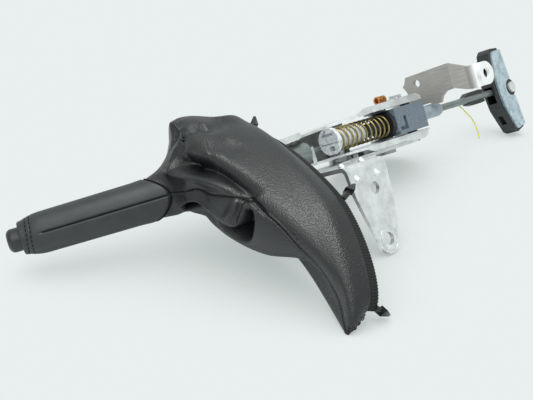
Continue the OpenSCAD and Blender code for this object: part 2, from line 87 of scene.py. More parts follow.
def new_finish(name, metallic, roughness):
    """A blank finish: its material, its node tree, its shader and the place on the piece in metres."""
    material = bpy.data.materials.new(name)
    material.use_nodes = True
    tree = material.node_tree
    surface = tree.nodes["Principled BSDF"]
    surface.inputs["Metallic"].default_value = metallic
    surface.inputs["Roughness"].default_value = roughness
    place = add(tree, "ShaderNodeTexCoord").outputs
    return material, tree, surface, place


def two_tone(tree, pattern, low, low_tone, high, high_tone):
    """A finish's two tones over a pattern: one up to its low value, the other from its high one."""
    share = add(tree, "ShaderNodeMapRange", {"Value": pattern, "From Min": low, "From Max": high})
    tones = {0: share.outputs["Result"], 6: linear(low_tone), 7: linear(high_tone)}
    return add(tree, "ShaderNodeMix", tones, data_type="RGBA").outputs[2]


floor_normal = Vector((-0.054, -0.410, 0.910)).normalized()
floor_height = -0.0447
bpy.ops.mesh.primitive_plane_add(size=6, location=floor_normal*floor_height,
                                 rotation=floor_normal.to_track_quat("Z", "Y").to_euler())
floor = bpy.context.object
floor.name = "table"
bpy.ops.object.transform_apply(location=True, rotation=True, scale=True)
floor.select_set(False)
# White card: matt, so it throws soft light back up at the part. The camera sees the pale
# backdrop through it, darkened by ambient occlusion where the part stands over it: a painted
# soft shadow, which doesn't hide a lever that is pulled below the table.
shadow_reach = 0.14
card, tree, surface, place = new_finish("white_card", 0, 0.9)
surface.inputs["Base Color"].default_value = linear("#eef2f2")
open_sky = add(tree, "ShaderNodeAmbientOcclusion", {"Distance": shadow_reach}, samples=16)
# painted shadow: the backdrop seen through the card darkens towards #bfc4c3 where little open sky is left
shade = two_tone(tree, open_sky.outputs["AO"], 0.2, "#bfc4c3", 0.85, "#ffffff")
veil = add(tree, "ShaderNodeBsdfTransparent", {"Color": shade})
rays = add(tree, "ShaderNodeLightPath").outputs
sheet = add(tree, "ShaderNodeMixShader",
            {0: rays["Is Camera Ray"], 1: surface.outputs[0], 2: veil.outputs[0]})
# lamp light passes the card, so that no line is drawn across a lever that is pulled below it
clear = add(tree, "ShaderNodeBsdfTransparent")
through = add(tree, "ShaderNodeMixShader",
              {0: rays["Is Shadow Ray"], 1: sheet.outputs[0], 2: clear.outputs[0]})
tree.links.new(through.outputs[0], tree.nodes["Material Output"].inputs["Surface"])
floor.data.materials.append(card)

world = bpy.data.worlds.new("studio")
bpy.context.scene.world = world
world.use_nodes = True
tree = world.node_tree
tree.nodes.clear()
rays = add(tree, "ShaderNodeLightPath").outputs
seen = add(tree, "ShaderNodeMath", {0: rays["Is Camera Ray"], 1: rays["Is Transmission Ray"]},
           operation="MAXIMUM")
shown = add(tree, "ShaderNodeMath", {0: seen.outputs[0], 1: rays["Is Glossy Ray"]}, operation="MAXIMUM")
backdrop = add(tree, "ShaderNodeBackground", {"Color": linear("#e9efee"), "Strength": 1.0})
# the room lights the part from above the table only
room_strength = 0.7
direction = add(tree, "ShaderNodeTexCoord").outputs["Generated"]
height = add(tree, "ShaderNodeVectorMath", {0: direction, 1: floor_normal}, operation="DOT_PRODUCT")
above = add(tree, "ShaderNodeMath", {0: height.outputs["Value"], 1: 0}, operation="GREATER_THAN")
level = add(tree, "ShaderNodeMath", {0: above.outputs[0], 1: room_strength}, operation="MULTIPLY")
room = add(tree, "ShaderNodeBackground", {"Color": linear("#eef2f4"), "Strength": level.outputs[0]})
mixed = add(tree, "ShaderNodeMixShader", {0: shown.outputs[0], 1: room.outputs[0], 2: backdrop.outputs[0]})
add(tree, "ShaderNodeOutputWorld", {"Surface": mixed.outputs[0]})
part_middle = Vector((0.03, 0.06, 0.04))


def area_light(name, towards, distance, size, power):
    """A square soft box that stands off the part's middle in the given direction and looks at it."""
    light = bpy.data.lights.new(name, "AREA")
    light.size = size
    light.energy = power
    lamp = bpy.data.objects.new(name, light)
    bpy.context.scene.collection.objects.link(lamp)
    direction = towards.normalized()
    lamp.location = part_middle + direction*distance
    lamp.rotation_euler = direction.to_track_quat("Z", "Y").to_euler()


area_light("overhead_box", floor_normal + camera_back*0.15, distance=0.9, size=0.45, power=6.4)
area_light("window_box", camera_back + floor_normal*0.45 - camera_right*0.25,
           distance=1.2, size=0.8, power=4.5)


# Mounting bracket: a foot and side wall pressed from 3 mm steel sheet and zinc
# plated, with two bolt holes and two darts pressed into the bend to stiffen it.
def wear(node_name, finish):
    """Gives a CAD node a finish in place of the plain colour it came with."""
    nodes[node_name].data.materials.clear()
    nodes[node_name].data.materials.append(finish)


# Zinc plate over pressed sheet: bright, a little cloudy in patches of a centimetre, so that it
# takes the white of the room softly. Its fine rub marks are drawn 0.9 mm wide, coarse enough to show.
zinc, tree, surface, place = new_finish("bright_zinc_plated_steel", 0.75, 0.34)
cloud = add(tree, "ShaderNodeTexNoise",
            {"Vector": place["Object"], "Scale": 1/0.010, "Detail": 5, "Roughness": 0.6})
tones = two_tone(tree, cloud.outputs["Fac"], 0.34, "#c3c9c8", 0.62, "#e0e4e3")
tree.links.new(tones, surface.inputs["Base Color"])
rubs = add(tree, "ShaderNodeMapping", {"Vector": place["Object"], "Scale": (1/0.02, 1/0.0009, 1/0.006)})
scuff = add(tree, "ShaderNodeTexNoise", {"Vector": rubs.outputs[0], "Scale": 1.0, "Detail": 3})
rough = add(tree, "ShaderNodeMapRange", {"Value": scuff.outputs["Fac"], "From Min": 0.3, "From Max": 0.7,
                                         "To Min": 0.26, "To Max": 0.44})
tree.links.new(rough.outputs["Result"], surface.inputs["Roughness"])
ripple = add(tree, "ShaderNodeBump", {"Height": cloud.outputs["Fac"], "Strength": 0.12, "Distance": 0.0005})
tree.links.new(ripple.outputs["Normal"], surface.inputs["Normal"])
wear("bracket", zinc)


# Rear leg: a dull rolled steel plate welded to the side wall behind the adjuster,
# jogged and bent at its end into a tab with the rear bolt hole; the bend and tab are painted bright as a
# highlight.
painted_highlight_from, painted_highlight_to = 0.012, 0.005
# Rolled steel: grey and dull, so the leg stays darker than the plated foot. Its rolling
# streaks are drawn 0.8 mm wide, coarse enough to show.
rolled, tree, surface, place = new_finish("dull_rolled_steel", 0.55, 0.5)
brush = add(tree, "ShaderNodeMapping", {"Vector": place["Object"], "Scale": (1/0.004, 1/0.012, 1/0.0008)})
streak = add(tree, "ShaderNodeTexNoise", {"Vector": brush.outputs[0], "Scale": 1.0, "Detail": 4})
dull = two_tone(tree, streak.outputs["Fac"], 0.3, "#94928d", 0.7, "#a8a6a2")
# painted highlight: the leg is painted bright between 12 and 5 mm above the mounting face
depth = add(tree, "ShaderNodeSeparateXYZ", {"Vector": place["Object"]})
bright = add(tree, "ShaderNodeMapRange",
             {"Value": depth.outputs["Y"], "From Min": painted_highlight_from, "From Max": painted_highlight_to},
             interpolation_type="SMOOTHSTEP")
leg_tones = add(tree, "ShaderNodeMix", {0: bright.outputs["Result"], 6: dull, 7: linear("#f0f1f0")},
                data_type="RGBA")
tree.links.new(leg_tones.outputs[2], surface.inputs["Base Color"])
wear("rear_leg", rolled)


# Ratchet and pivot: a hardened toothed sector on the side wall, the turned pivot
# pin with its clip, the pawl on its own pin, and the button's spring, all bare steel.

# Bare machined steel: darker than the plate, mottled by oil in spots of about 2 mm, so it
# glints unevenly in the shade of the channel.
turned, tree, surface, place = new_finish("turned_bare_steel", 0.9, 0.36)
oil = add(tree, "ShaderNodeTexNoise", {"Vector": place["Object"], "Scale": 1/0.002, "Detail": 3})
tones = two_tone(tree, oil.outputs["Fac"], 0.3, "#8b8e8f", 0.7, "#a9abac")
tree.links.new(tones, surface.inputs["Base Color"])
for name in ("ratchet_sector", "pivot_pin", "pivot_clip", "pawl", "pawl_pin", "button_spring"):
    wear(name, turned)


# Lever: a zinc plated channel pressed from 2 mm sheet, open towards the foot, with
# a bent steel tube welded into its front end; rods run inside to the pawl.
wear("lever_channel", zinc)
# Drawn steel: grey, with lines from the die along its length, which give the rods long soft
# streaks. The lines are drawn 1.2 mm wide, coarse enough to show.
drawn, tree, surface, place = new_finish("drawn_rod_steel", 0.65, 0.44)
skin = add(tree, "ShaderNodeMapping", {"Vector": place["Object"], "Scale": (1/0.012, 1/0.0012, 1/0.0012)})
draw_line = add(tree, "ShaderNodeTexNoise", {"Vector": skin.outputs[0], "Scale": 1.0, "Detail": 4})
tones = two_tone(tree, draw_line.outputs["Fac"], 0.3, "#6a7271", 0.7, "#878f8d")
tree.links.new(tones, surface.inputs["Base Color"])
for name in ("lever_tube", "spring_stop", "push_rod", "release_rod", "pull_rod"):
    wear(name, drawn)
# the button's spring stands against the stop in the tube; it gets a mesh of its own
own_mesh(nodes["button_spring"])


# Warning switch: a rolled copper eyelet on a stem and a small pale blue plastic
# block, clipped to the channel's upper lip beside a tab with a hole.

# Drawn copper: shiny, and browned in spots of about 2 mm, so it stands out warm from the zinc.
copper, tree, surface, place = new_finish("drawn_copper", 1, 0.3)
patina = add(tree, "ShaderNodeTexNoise", {"Vector": place["Object"], "Scale": 1/0.002, "Detail": 4})
tones = two_tone(tree, patina.outputs["Fac"], 0.35, "#8a4f22", 0.62, "#d08a4e")
tree.links.new(tones, surface.inputs["Base Color"])
wear("switch_contact", copper)
# Pale blue polyamide: faint flow marks from the mould, which keep the little block from looking flat.
pale_block, tree, surface, place = new_finish("pale_blue_moulding", 0, 0.4)
flow = add(tree, "ShaderNodeTexNoise", {"Vector": place["Object"], "Scale": 1/0.004, "Detail": 3})
tones = two_tone(tree, flow.outputs["Fac"], 0.3, "#a9bacb", 0.7, "#bac9d8")
tree.links.new(tones, surface.inputs["Base Color"])
wear("switch_body", pale_block)


# Adjuster: a slate grey nylon housing on two trunnions in the channel, with a nose
# for the rod, a black washer and guide sleeve, and the white seat on the rod's end.

# Glass filled nylon: half matt, with a faint mottle from its fibres that takes the plastic
# shine off. The mottle is drawn 1.2 mm across, coarse enough to show.
slate, tree, surface, place = new_finish("slate_glass_filled_nylon", 0, 0.5)
fibre = add(tree, "ShaderNodeTexNoise", {"Vector": place["Object"], "Scale": 1/0.0012, "Detail": 3})
tones = two_tone(tree, fibre.outputs["Fac"], 0.3, "#57626b", 0.7, "#6d7882")
tree.links.new(tones, surface.inputs["Base Color"])
wear("adjuster_housing", slate)
# Grey nylon: paler than the housing, with soft cloudy flow marks and a satin shine along the nose.
nose_grey, tree, surface, place = new_finish("grey_moulded_nylon", 0, 0.38)
flow = add(tree, "ShaderNodeTexNoise", {"Vector": place["Object"], "Scale": 1/0.005, "Detail": 3})
tones = two_tone(tree, flow.outputs["Fac"], 0.3, "#808c93", 0.7, "#919ca3")
tree.links.new(tones, surface.inputs["Base Color"])
wear("adjuster_nose", nose_grey)
# Natural white nylon: milky, with grey handling marks a few millimetres across, so it reads as
# used plastic.
white_nylon, tree, surface, place = new_finish("white_moulded_nylon", 0, 0.36)
smudge = add(tree, "ShaderNodeTexNoise",
             {"Vector": place["Object"], "Scale": 1/0.003, "Detail": 5, "Roughness": 0.65})
tones = two_tone(tree, smudge.outputs["Fac"], 0.36, "#a9b0b2", 0.6, "#d2d7d9")
tree.links.new(tones, surface.inputs["Base Color"])
for name in ("spring_seat", "pivot_bush"):
    wear(name, white_nylon)
# Black nylon from a spark eroded mould: a fine stipple that breaks up its shine, drawn 0.9 mm
# across, coarse enough to show.
black_nylon, tree, surface, place = new_finish("black_moulded_nylon", 0, 0.4)
surface.inputs["Base Color"].default_value = linear("#1b1d1e")
spark = add(tree, "ShaderNodeTexNoise", {"Vector": place["Object"], "Scale": 1/0.0009, "Detail": 2})
stipple = add(tree, "ShaderNodeBump", {"Height": spark.outputs["Fac"], "Strength": 0.15, "Distance": 0.0003})
tree.links.new(stipple.outputs["Normal"], surface.inputs["Normal"])
for name in ("spring_washer", "guide_sleeve"):
    wear(name, black_nylon)


# Adjuster spring: eleven turns of 1.6 mm yellow passivated spring wire, held
# between the white seat on the pull rod and the washer on the slate housing.
spring_start, spring_end, spring_turns = 0.0351, 0.0952, 11
spring_radius, spring_wire = 0.0087, 0.0016
rod_y, rod_z = 0.060, 0.039
bpy.ops.mesh.primitive_circle_add(vertices=10, radius=spring_wire/2,
                                  location=(spring_start, rod_y + spring_radius, rod_z))
spring = bpy.context.object
spring.name = "adjuster_coil"
bpy.context.scene.cursor.location = (spring_start, rod_y, rod_z)
bpy.ops.object.origin_set(type="ORIGIN_CURSOR")
coil = spring.modifiers.new("coil", "SCREW")
coil.axis = "X"
coil.iterations = spring_turns
coil.screw_offset = (spring_end - spring_start)/spring_turns
coil.steps = coil.render_steps = 36
bpy.ops.object.modifier_apply(modifier="coil")
bpy.ops.object.mode_set(mode="EDIT")
bpy.ops.mesh.select_all(action="SELECT")
bpy.ops.mesh.fill_holes(sides=0)
bpy.ops.mesh.normals_make_consistent(inside=False)
bpy.ops.object.mode_set(mode="OBJECT")
bpy.ops.object.transform_apply(location=True, rotation=True, scale=True)
bpy.ops.object.shade_smooth_by_angle(angle=1.0)
spring.select_set(False)
# Yellow passivate: a thin gold film over plated wire, patchy along the turns, so each turn
# glints warm and cool.
passivated, tree, surface, place = new_finish("yellow_passivated_wire", 0.7, 0.36)
bloom = add(tree, "ShaderNodeTexNoise", {"Vector": place["Object"], "Scale": 1/0.006, "Detail": 3})
tones = two_tone(tree, bloom.outputs["Fac"], 0.3, "#7d7042", 0.7, "#a3966a")
tree.links.new(tones, surface.inputs["Base Color"])
spring.data.materials.append(passivated)
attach(spring, "adjuster")
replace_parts(spring, "adjuster_spring")
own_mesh(spring)


# Equaliser: two stamped plates, zinc plated and blue passivated, round a black
# nylon insert with a slot for each cable, on a pin through the pull rod's eye.
for name in ("rod_clip", "equaliser_insert"):
    wear(name, black_nylon)
# Blue passivated zinc: a cool film, blotched and scuffed in patches of a few millimetres, so the
# plates look used and shine unevenly.
blue_zinc, tree, surface, place = new_finish("blue_passivated_zinc", 0.6, 0.36)
blotch = add(tree, "ShaderNodeTexNoise",
             {"Vector": place["Object"], "Scale": 1/0.0045, "Detail": 6, "Roughness": 0.7})
tones = two_tone(tree, blotch.outputs["Fac"], 0.36, "#95aab3", 0.64, "#c9d8de")
tree.links.new(tones, surface.inputs["Base Color"])
scrape = add(tree, "ShaderNodeMapRange", {"Value": blotch.outputs["Fac"], "From Min": 0.3, "From Max": 0.7,
                                          "To Min": 0.3, "To Max": 0.5})
tree.links.new(scrape.outputs["Result"], surface.inputs["Roughness"])
for name in ("equaliser_plate_near", "equaliser_plate_far"):
    wear(name, blue_zinc)
wear("equaliser_pin", zinc)


# Earth wire: a short cut piece of yellow and green insulated wire, 1.1 mm thick,
# tied round the pull rod and left to stand away from it in a bow.
def to_frame(points_mm):
    """Points in the maker's millimetres, measured from the spring seat, to metres in the shared frame."""
    return (np.asarray(points_mm, float) + (30, 60, 39))/1000


def between(a, b, c, d, share):
    """The place at a share of the way from b to c on a smooth curve through four points."""
    return 0.5*(2*b + (c - a)*share + (2*a - 5*b + 4*c - d)*share**2 + (3*b - a - 3*c + d)*share**3)


def smooth_path(points, steps):
    """A smooth curve through the points, with so many steps in each stretch."""
    p = np.asarray(points, float)
    p = np.vstack([2*p[0] - p[1], p, 2*p[-1] - p[-2]])
    curve = [between(*p[k:k + 4], share) for k in range(len(p) - 3) for share in np.arange(steps)/steps]
    return np.array(curve + [p[-2]])


def run_along(path):
    """The distance along a path at each of its points."""
    return np.concatenate([[0], np.cumsum(np.linalg.norm(np.diff(path, axis=0), axis=1))])


def new_piece(name, points, faces):
    """A smooth mesh object with its place in its mesh."""
    mesh = bpy.data.meshes.new(name)
    mesh.from_pydata([tuple(p) for p in points], [], faces)
    mesh.shade_smooth()
    piece = bpy.data.objects.new(name, mesh)
    bpy.context.scene.collection.objects.link(piece)
    return piece


def grid_piece(name, rows, closed_rows=False, caps=False):
    """A mesh object from rows of points, each row a closed ring, with a UV map along and round it."""
    rows = np.asarray(rows)
    m, n = rows.shape[:2]
    faces = []
    uvs = []
    for i in range(m if closed_rows else m - 1):
        for k in range(n):
            a, b = i*n + k, i*n + (k + 1) % n
            c, d = ((i + 1) % m)*n + (k + 1) % n, ((i + 1) % m)*n + k
            faces.append((a, b, c, d))
            uvs += [(k/n, i/m), ((k + 1)/n, i/m), ((k + 1)/n, (i + 1)/m), (k/n, (i + 1)/m)]
    if caps:
        faces += [tuple(range(n - 1, -1, -1)), tuple(range((m - 1)*n, m*n))]
        uvs += [(k/n, 0) for k in range(n - 1, -1, -1)] + [(k/n, 1) for k in range(n)]
    piece = new_piece(name, rows.reshape(-1, 3), faces)
    layer = piece.data.uv_layers.new(name="along")
    layer.data.foreach_set("uv", np.array(uvs, float).ravel())
    return piece


def tube_rows(path, radius, sides):
    """Rings of points round a path, each square to it and without twist."""
    path = np.asarray(path, float)
    along = np.gradient(path, axis=0)
    along /= np.linalg.norm(along, axis=1)[:, None]
    side = np.cross(along[0], (0.3, 0.2, 0.9))
    rows = []
    turn = np.arange(sides)*2*math.pi/sides
    for p, t in zip(path, along):
        side = side - t*(side @ t)
        side /= np.linalg.norm(side)
        over = np.cross(t, side)
        rows.append(p + radius*(np.outer(np.cos(turn), side) + np.outer(np.sin(turn), over)))
    return np.array(rows)


wire_points = to_frame([
    (172.5, 0, -3.7), (174, -0.5, -4.6), (176, -1, -7), (178, -1.5, -10.4), (180.4, -2, -13.6),
    (182.6, -2, -16.6), (184.4, -2, -19.6), (185.6, -2, -23), (186.2, -2, -26.4), (186.4, -2, -29.6),
    (186.2, -2, -32.8), (185.8, -2, -36)])
wire_radius = 0.00055
wire_path = smooth_path(wire_points, 4)
wire = grid_piece("earth_wire", tube_rows(wire_path, wire_radius, 12), caps=True)

# PVC insulation, two colours extruded side by side: soft and a little glossy, with the green
# as a stripe over a third of the way round, so the wire looks yellow or green as it bends.
stripe_from = 0.66
pvc, tree, surface, place = new_finish("striped_pvc_insulation", 0, 0.42)
split = add(tree, "ShaderNodeSeparateXYZ", {"Vector": place["UV"]})
stripe = add(tree, "ShaderNodeMath", {0: split.outputs["X"], 1: stripe_from}, operation="GREATER_THAN")
striped = add(tree, "ShaderNodeMix", {0: stripe.outputs[0], 6: linear("#d3c63a"), 7: linear("#4f9b8c")},
              data_type="RGBA")
tree.links.new(striped.outputs[2], surface.inputs["Base Color"])
wire.data.materials.append(pvc)
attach(wire, "rod")
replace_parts(wire, "wire")


# Grip sleeve: smooth black leather drawn over a hard core and sewn along both
# sides; its rear edge is cut to a curve and covers the gaiter's collar.
for name in ("grip_core", "button"):
    wear(name, black_nylon)
grip_start = np.array((-110, 24.72, -3.3))
grip_way = np.array((-math.cos(math.radians(30)), 0.5, 0))
grip_over = np.array((0.5, math.cos(math.radians(30)), 0))
upward = np.array((0, 0, 1.0))


def round_grip(distance, radius, turn):
    """Points round the grip's axis: turn 0 is the top, 90 degrees the side towards the bracket's foot."""
    distance, radius = np.broadcast_to(distance, turn.shape), np.broadcast_to(radius, turn.shape)
    return (grip_start + distance[:, None]*grip_way
            + radius[:, None]*(np.cos(turn)[:, None]*upward - np.sin(turn)[:, None]*grip_over))


sleeve_sides, sleeve_steps = 320, 150
sleeve_end, sleeve_rear_radius = 126, 15.9
side_seams = (0.5*math.pi, 1.5*math.pi)
seam_depth, seam_width = 1.3, 0.7
stitch_rings, stitch_slant = (121.5, 124.5), 1.5
edge_top, edge_dip = 38, 13.2
turn = np.arange(sleeve_sides)*2*math.pi/sleeve_sides
rear_edge = edge_top - edge_dip*np.abs(np.sin(turn))**np.where(np.cos(turn) > 0, 2.1, 1.3)


def sleeve_radius(distance, turn, edge):
    """The sleeve's radius: a slight taper to the front, a soft swell behind, a valley at each seam."""
    radius = sleeve_rear_radius - 0.5*np.clip((distance - edge)/10, 0, 1)
    radius = radius - np.clip(distance - 35, 0, 90)*1.15/92
    # the rear edge is turned in
    radius = radius - 1.1*np.exp(-((distance - edge)/1.3)**2)
    for at in side_seams:
        off = np.abs((turn - at + math.pi) % (2*math.pi) - math.pi)*radius
        radius = radius - seam_depth*np.exp(-(off/seam_width)**2)*np.clip((117 - distance)/5, 0, 1)
    # the front end rounds off, and the two rows of stitches pull the leather in
    radius = radius - 2.4*np.clip((distance - 112)/14, 0, 1)**2.2
    for at in stitch_rings:
        radius = radius - 0.3*np.exp(-((distance - at + stitch_slant*np.cos(turn))/0.7)**2)
    return radius


sleeve_rows = []
for share in np.linspace(0, 1, sleeve_steps):
    distance = rear_edge + (sleeve_end - rear_edge)*share
    sleeve_rows.append(round_grip(distance, sleeve_radius(distance, turn, rear_edge), turn))
# the front rolls over into the mouth that the button stands in
for angle in np.radians(np.arange(12, 181, 12)):
    sleeve_rows.append(round_grip(sleeve_end + 3*math.sin(angle), 11.9 - 1.2*(1 - math.cos(angle)), turn))
sleeve_rows.append(round_grip(124.0, 9.2, turn))
sleeve = grid_piece("grip_sleeve", to_frame(np.array(sleeve_rows)))
# Corrected leather with a fine print of 0.7 mm: nearly smooth, so it has a soft broad shine.
grip_hide, tree, surface, place = new_finish("smooth_grip_leather", 0, 0.5)
wrinkle = add(tree, "ShaderNodeTexNoise", {"Vector": place["Object"], "Scale": 1/0.012, "Detail": 3})
tones = two_tone(tree, wrinkle.outputs["Fac"], 0.3, "#1c2021", 0.7, "#262a2b")
tree.links.new(tones, surface.inputs["Base Color"])
pore = add(tree, "ShaderNodeTexVoronoi", {"Vector": place["Object"], "Scale": 1/0.0007},
           feature="SMOOTH_F1")
print_bump = add(tree, "ShaderNodeBump",
                 {"Height": pore.outputs["Distance"], "Strength": 0.12, "Distance": 0.0003})
tree.links.new(print_bump.outputs["Normal"], surface.inputs["Normal"])
sleeve.data.materials.append(grip_hide)
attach(sleeve, "lever")
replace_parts(sleeve, "grip_leather", "grip_ring")


# Grip sewing: black polyester thread, a closed seam along each side of the grip
# and two rows of short stitches round its front end.
stitch_bow = np.array((-0.7, 0.3, 0.6, 0.3, -0.7))
stitch_sides = 6


def stitch_row(name, path, out, length, gap, radius):
    """Separate stitches of thread laid along a path, each a small bowed tube with its ends sunk in."""
    path, out = np.asarray(path), np.asarray(out)
    run = run_along(path)
    rows, n = len(stitch_bow), stitch_sides
    points, faces = [], []
    start = gap/2
    while start + length < run[-1]:
        at = np.linspace(start, start + length, rows)
        line = np.stack([np.interp(at, run, path[:, k]) for k in range(3)], 1)
        normal = np.stack([np.interp(at, run, out[:, k]) for k in range(3)], 1)
        rings = tube_rows(line + normal*(radius*stitch_bow)[:, None], radius, n)
        first = len(points)
        points += list(rings.reshape(-1, 3))
        for row in range(first, first + (rows - 1)*n, n):
            faces += [(row + k, row + (k + 1) % n, row + n + (k + 1) % n, row + n + k) for k in range(n)]
        last = first + (rows - 1)*n
        faces += [tuple(range(first + n - 1, first - 1, -1)), tuple(range(last, last + n))]
        start += length + gap
    return new_piece(name, points, faces)


# Spun polyester: dull and nearly black, so a seam reads as a dark line. Its twist is drawn
# 0.6 mm long, coarse enough to show.
thread, tree, surface, place = new_finish("black_polyester_thread", 0, 0.8)
surface.inputs["Specular IOR Level"].default_value = 0.2
twist = add(tree, "ShaderNodeTexNoise", {"Vector": place["Object"], "Scale": 1/0.0006, "Detail": 2})
tones = two_tone(tree, twist.outputs["Fac"], 0.3, "#060707", 0.7, "#111213")
tree.links.new(tones, surface.inputs["Base Color"])


def sewn(piece, finish=thread):
    """Thread, or a welt of another finish, rides on the lever with the leather that it holds."""
    piece.data.materials.append(finish)
    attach(piece, "lever")


side_edge = float(rear_edge.min())
for side, at in zip(("near", "far"), side_seams):
    along = np.linspace(side_edge + 1.2, 114, 120)
    seam_turn = np.full_like(along, at)
    valley = round_grip(along, sleeve_radius(along, seam_turn, side_edge) - 0.2, seam_turn)
    sewn(grid_piece("grip_seam_" + side, tube_rows(to_frame(valley), 0.00042, 8), caps=True))
# a black thread round the sleeve's rear edge; its dark line also stands in for the shade in the gap between
# sleeve and collar, so it is partly painted shade
edge_line = round_grip(rear_edge - 0.25, 15.25, turn)
edge_line = to_frame(np.vstack([edge_line, edge_line[:1]]))
sewn(grid_piece("grip_rear_edge_thread_and_shade", tube_rows(edge_line, 0.0005, 8), caps=True))
ring_turn = np.append(turn, turn[0])
ring_edge = np.append(rear_edge, rear_edge[0])
for number, at in enumerate(stitch_rings, 1):
    distance = at - stitch_slant*np.cos(ring_turn)
    ring = round_grip(distance, sleeve_radius(distance, ring_turn, ring_edge), ring_turn)
    out = (ring - round_grip(distance, 0, ring_turn))/14.5
    sewn(stitch_row("grip_stitches_%d" % number, to_frame(ring), out,
                    length=0.0021, gap=0.0012, radius=0.00036))


# Gaiter: a bag sewn from three panels of grained black leather; the collar is
# held under the grip sleeve, and the lower corner hangs down as a curved horn.
def collar_loop(distance, radius, rise=0):
    """A round loop of the bag about the grip's axis, which may rise at its top."""
    middle = grip_start + distance*grip_way
    return [middle + (radius + rise)*upward, middle - radius*grip_over,
            middle - radius*upward, middle + radius*grip_over, 2, 0]


# each loop: top, near side, bottom, far side, squareness, how much the far side widens to the top
gaiter_loops = [
    collar_loop(40, 14), collar_loop(24, 15.2, 5.8),
    [(-121, 24.5, 35), (-139, 0, 4), (-128, 7, -22), (-114, 52, 4), 2, 0],
    [(-118, 27, 46), (-137, -16, -3), (-124, -7, -42), (-105, 44, 2), 1.9, 0.2],
    [(-108, 20, 46), (-133, -39, -13), (-122, -34, -57), (-97, 38, -4), 1.9, 0.4],
    [(-92, 14, 41), (-125, -60, -24), (-117, -67, -66.5), (-91, 26, -15), 1.8, 0.6],
    [(-76, 12, 37), (-114, -73, -31), (-123, -87, -91), (-88, 5.5, -31), 1.75, 0.8],
    [(-68, 12, 31), (-103, -82, -34), (-132, -98, -111), (-79, -10.5, -48.5), 1.6, 0.8],
    [(-63, 13, 24), (-90, -81, -35), (-117.5, -104.5, -102.5), (-84, -3, -44), 1.55, 0.8]]
last_loop = len(gaiter_loops) - 1
hem_loop = gaiter_loops[-1]


def loop_points(loop, turn):
    """Points round one loop of the bag, in the maker's millimetres."""
    top, near, bottom, far = [np.array(v, float) for v in loop[:4]]
    square, widen = loop[4:]
    middle = (top + bottom)/2
    c = np.sign(np.cos(turn))*np.abs(np.cos(turn))**(2/square)
    s = np.sign(np.sin(turn))*np.abs(np.sin(turn))**(2/square)
    return (middle + np.outer(c, (top - bottom)/2) + np.outer(np.maximum(s, 0), near - middle)
            + np.outer(np.maximum(-s, 0)*(1 + widen*np.cos(turn)), far - middle))


# each row of the bag has a loop number and each of its sides an angle in degrees; both lie
# closer together where the folds are
bag_rows, bag_sides = 178, 268
bag_loop = np.interp(np.linspace(0, 1, bag_rows), (0, 0.08, 0.7, 1), (0, 1, 4.8, last_loop))
turn = np.arange(bag_sides)*2*math.pi/bag_sides
turn = turn + 0.45*np.cos(turn)
bag_angle = np.degrees(turn)
loops = np.array([loop_points(loop, turn) for loop in gaiter_loops])
loops = np.concatenate([[2*loops[0] - loops[1]], loops, [2*loops[-1] - loops[-2]]])
bag = []
for at in bag_loop:
    k = min(int(at), last_loop - 1)
    bag.append(between(*loops[k:k + 4], at - k))
bag = np.array(bag)


def outward(rows):
    """The surface's unit normals, pointing out of the bag."""
    normal = np.cross(np.roll(rows, -1, 1) - np.roll(rows, 1, 1), np.gradient(rows, axis=0))
    return normal/(np.linalg.norm(normal, axis=2, keepdims=True) + 1e-9)


def on_bag(points, steps=8):
    """A smooth line drawn on the bag through (loop number, degrees) points: its places and normals."""
    line = smooth_path(points, steps)
    row = np.clip(np.interp(line[:, 0], bag_loop, np.arange(bag_rows)), 0, bag_rows - 1.001)
    side = np.interp((line[:, 1] - bag_angle[0]) % 360 + bag_angle[0],
                     np.append(bag_angle, bag_angle[0] + 360), np.arange(bag_sides + 1))
    i, k = row.astype(int), side.astype(int)
    f, g = (row - i)[:, None], (side - k)[:, None]
    k, k2 = k % bag_sides, (k + 1) % bag_sides
    return [(s[i, k]*(1 - g) + s[i, k2]*g)*(1 - f) + (s[i + 1, k]*(1 - g) + s[i + 1, k2]*g)*f
            for s in (bag, bag_normal)]


bag_normal = outward(bag)
side_seam = [(1, 86), (1.38, 98), (1.68, 106), (2.28, 110), (2.92, 103), (3.6, 98), (3.9, 96.5),
             (4.1, 97), (4.28, 95)]
horn_seam = [(4.28, 95), (4.38, 98), (4.5, 105), (4.64, 111), (4.76, 120), (4.9, 136), (5.16, 151),
             (5.56, 161), (6.08, 169), (6.62, 174), (7.3, 178), (7.9, 180)]
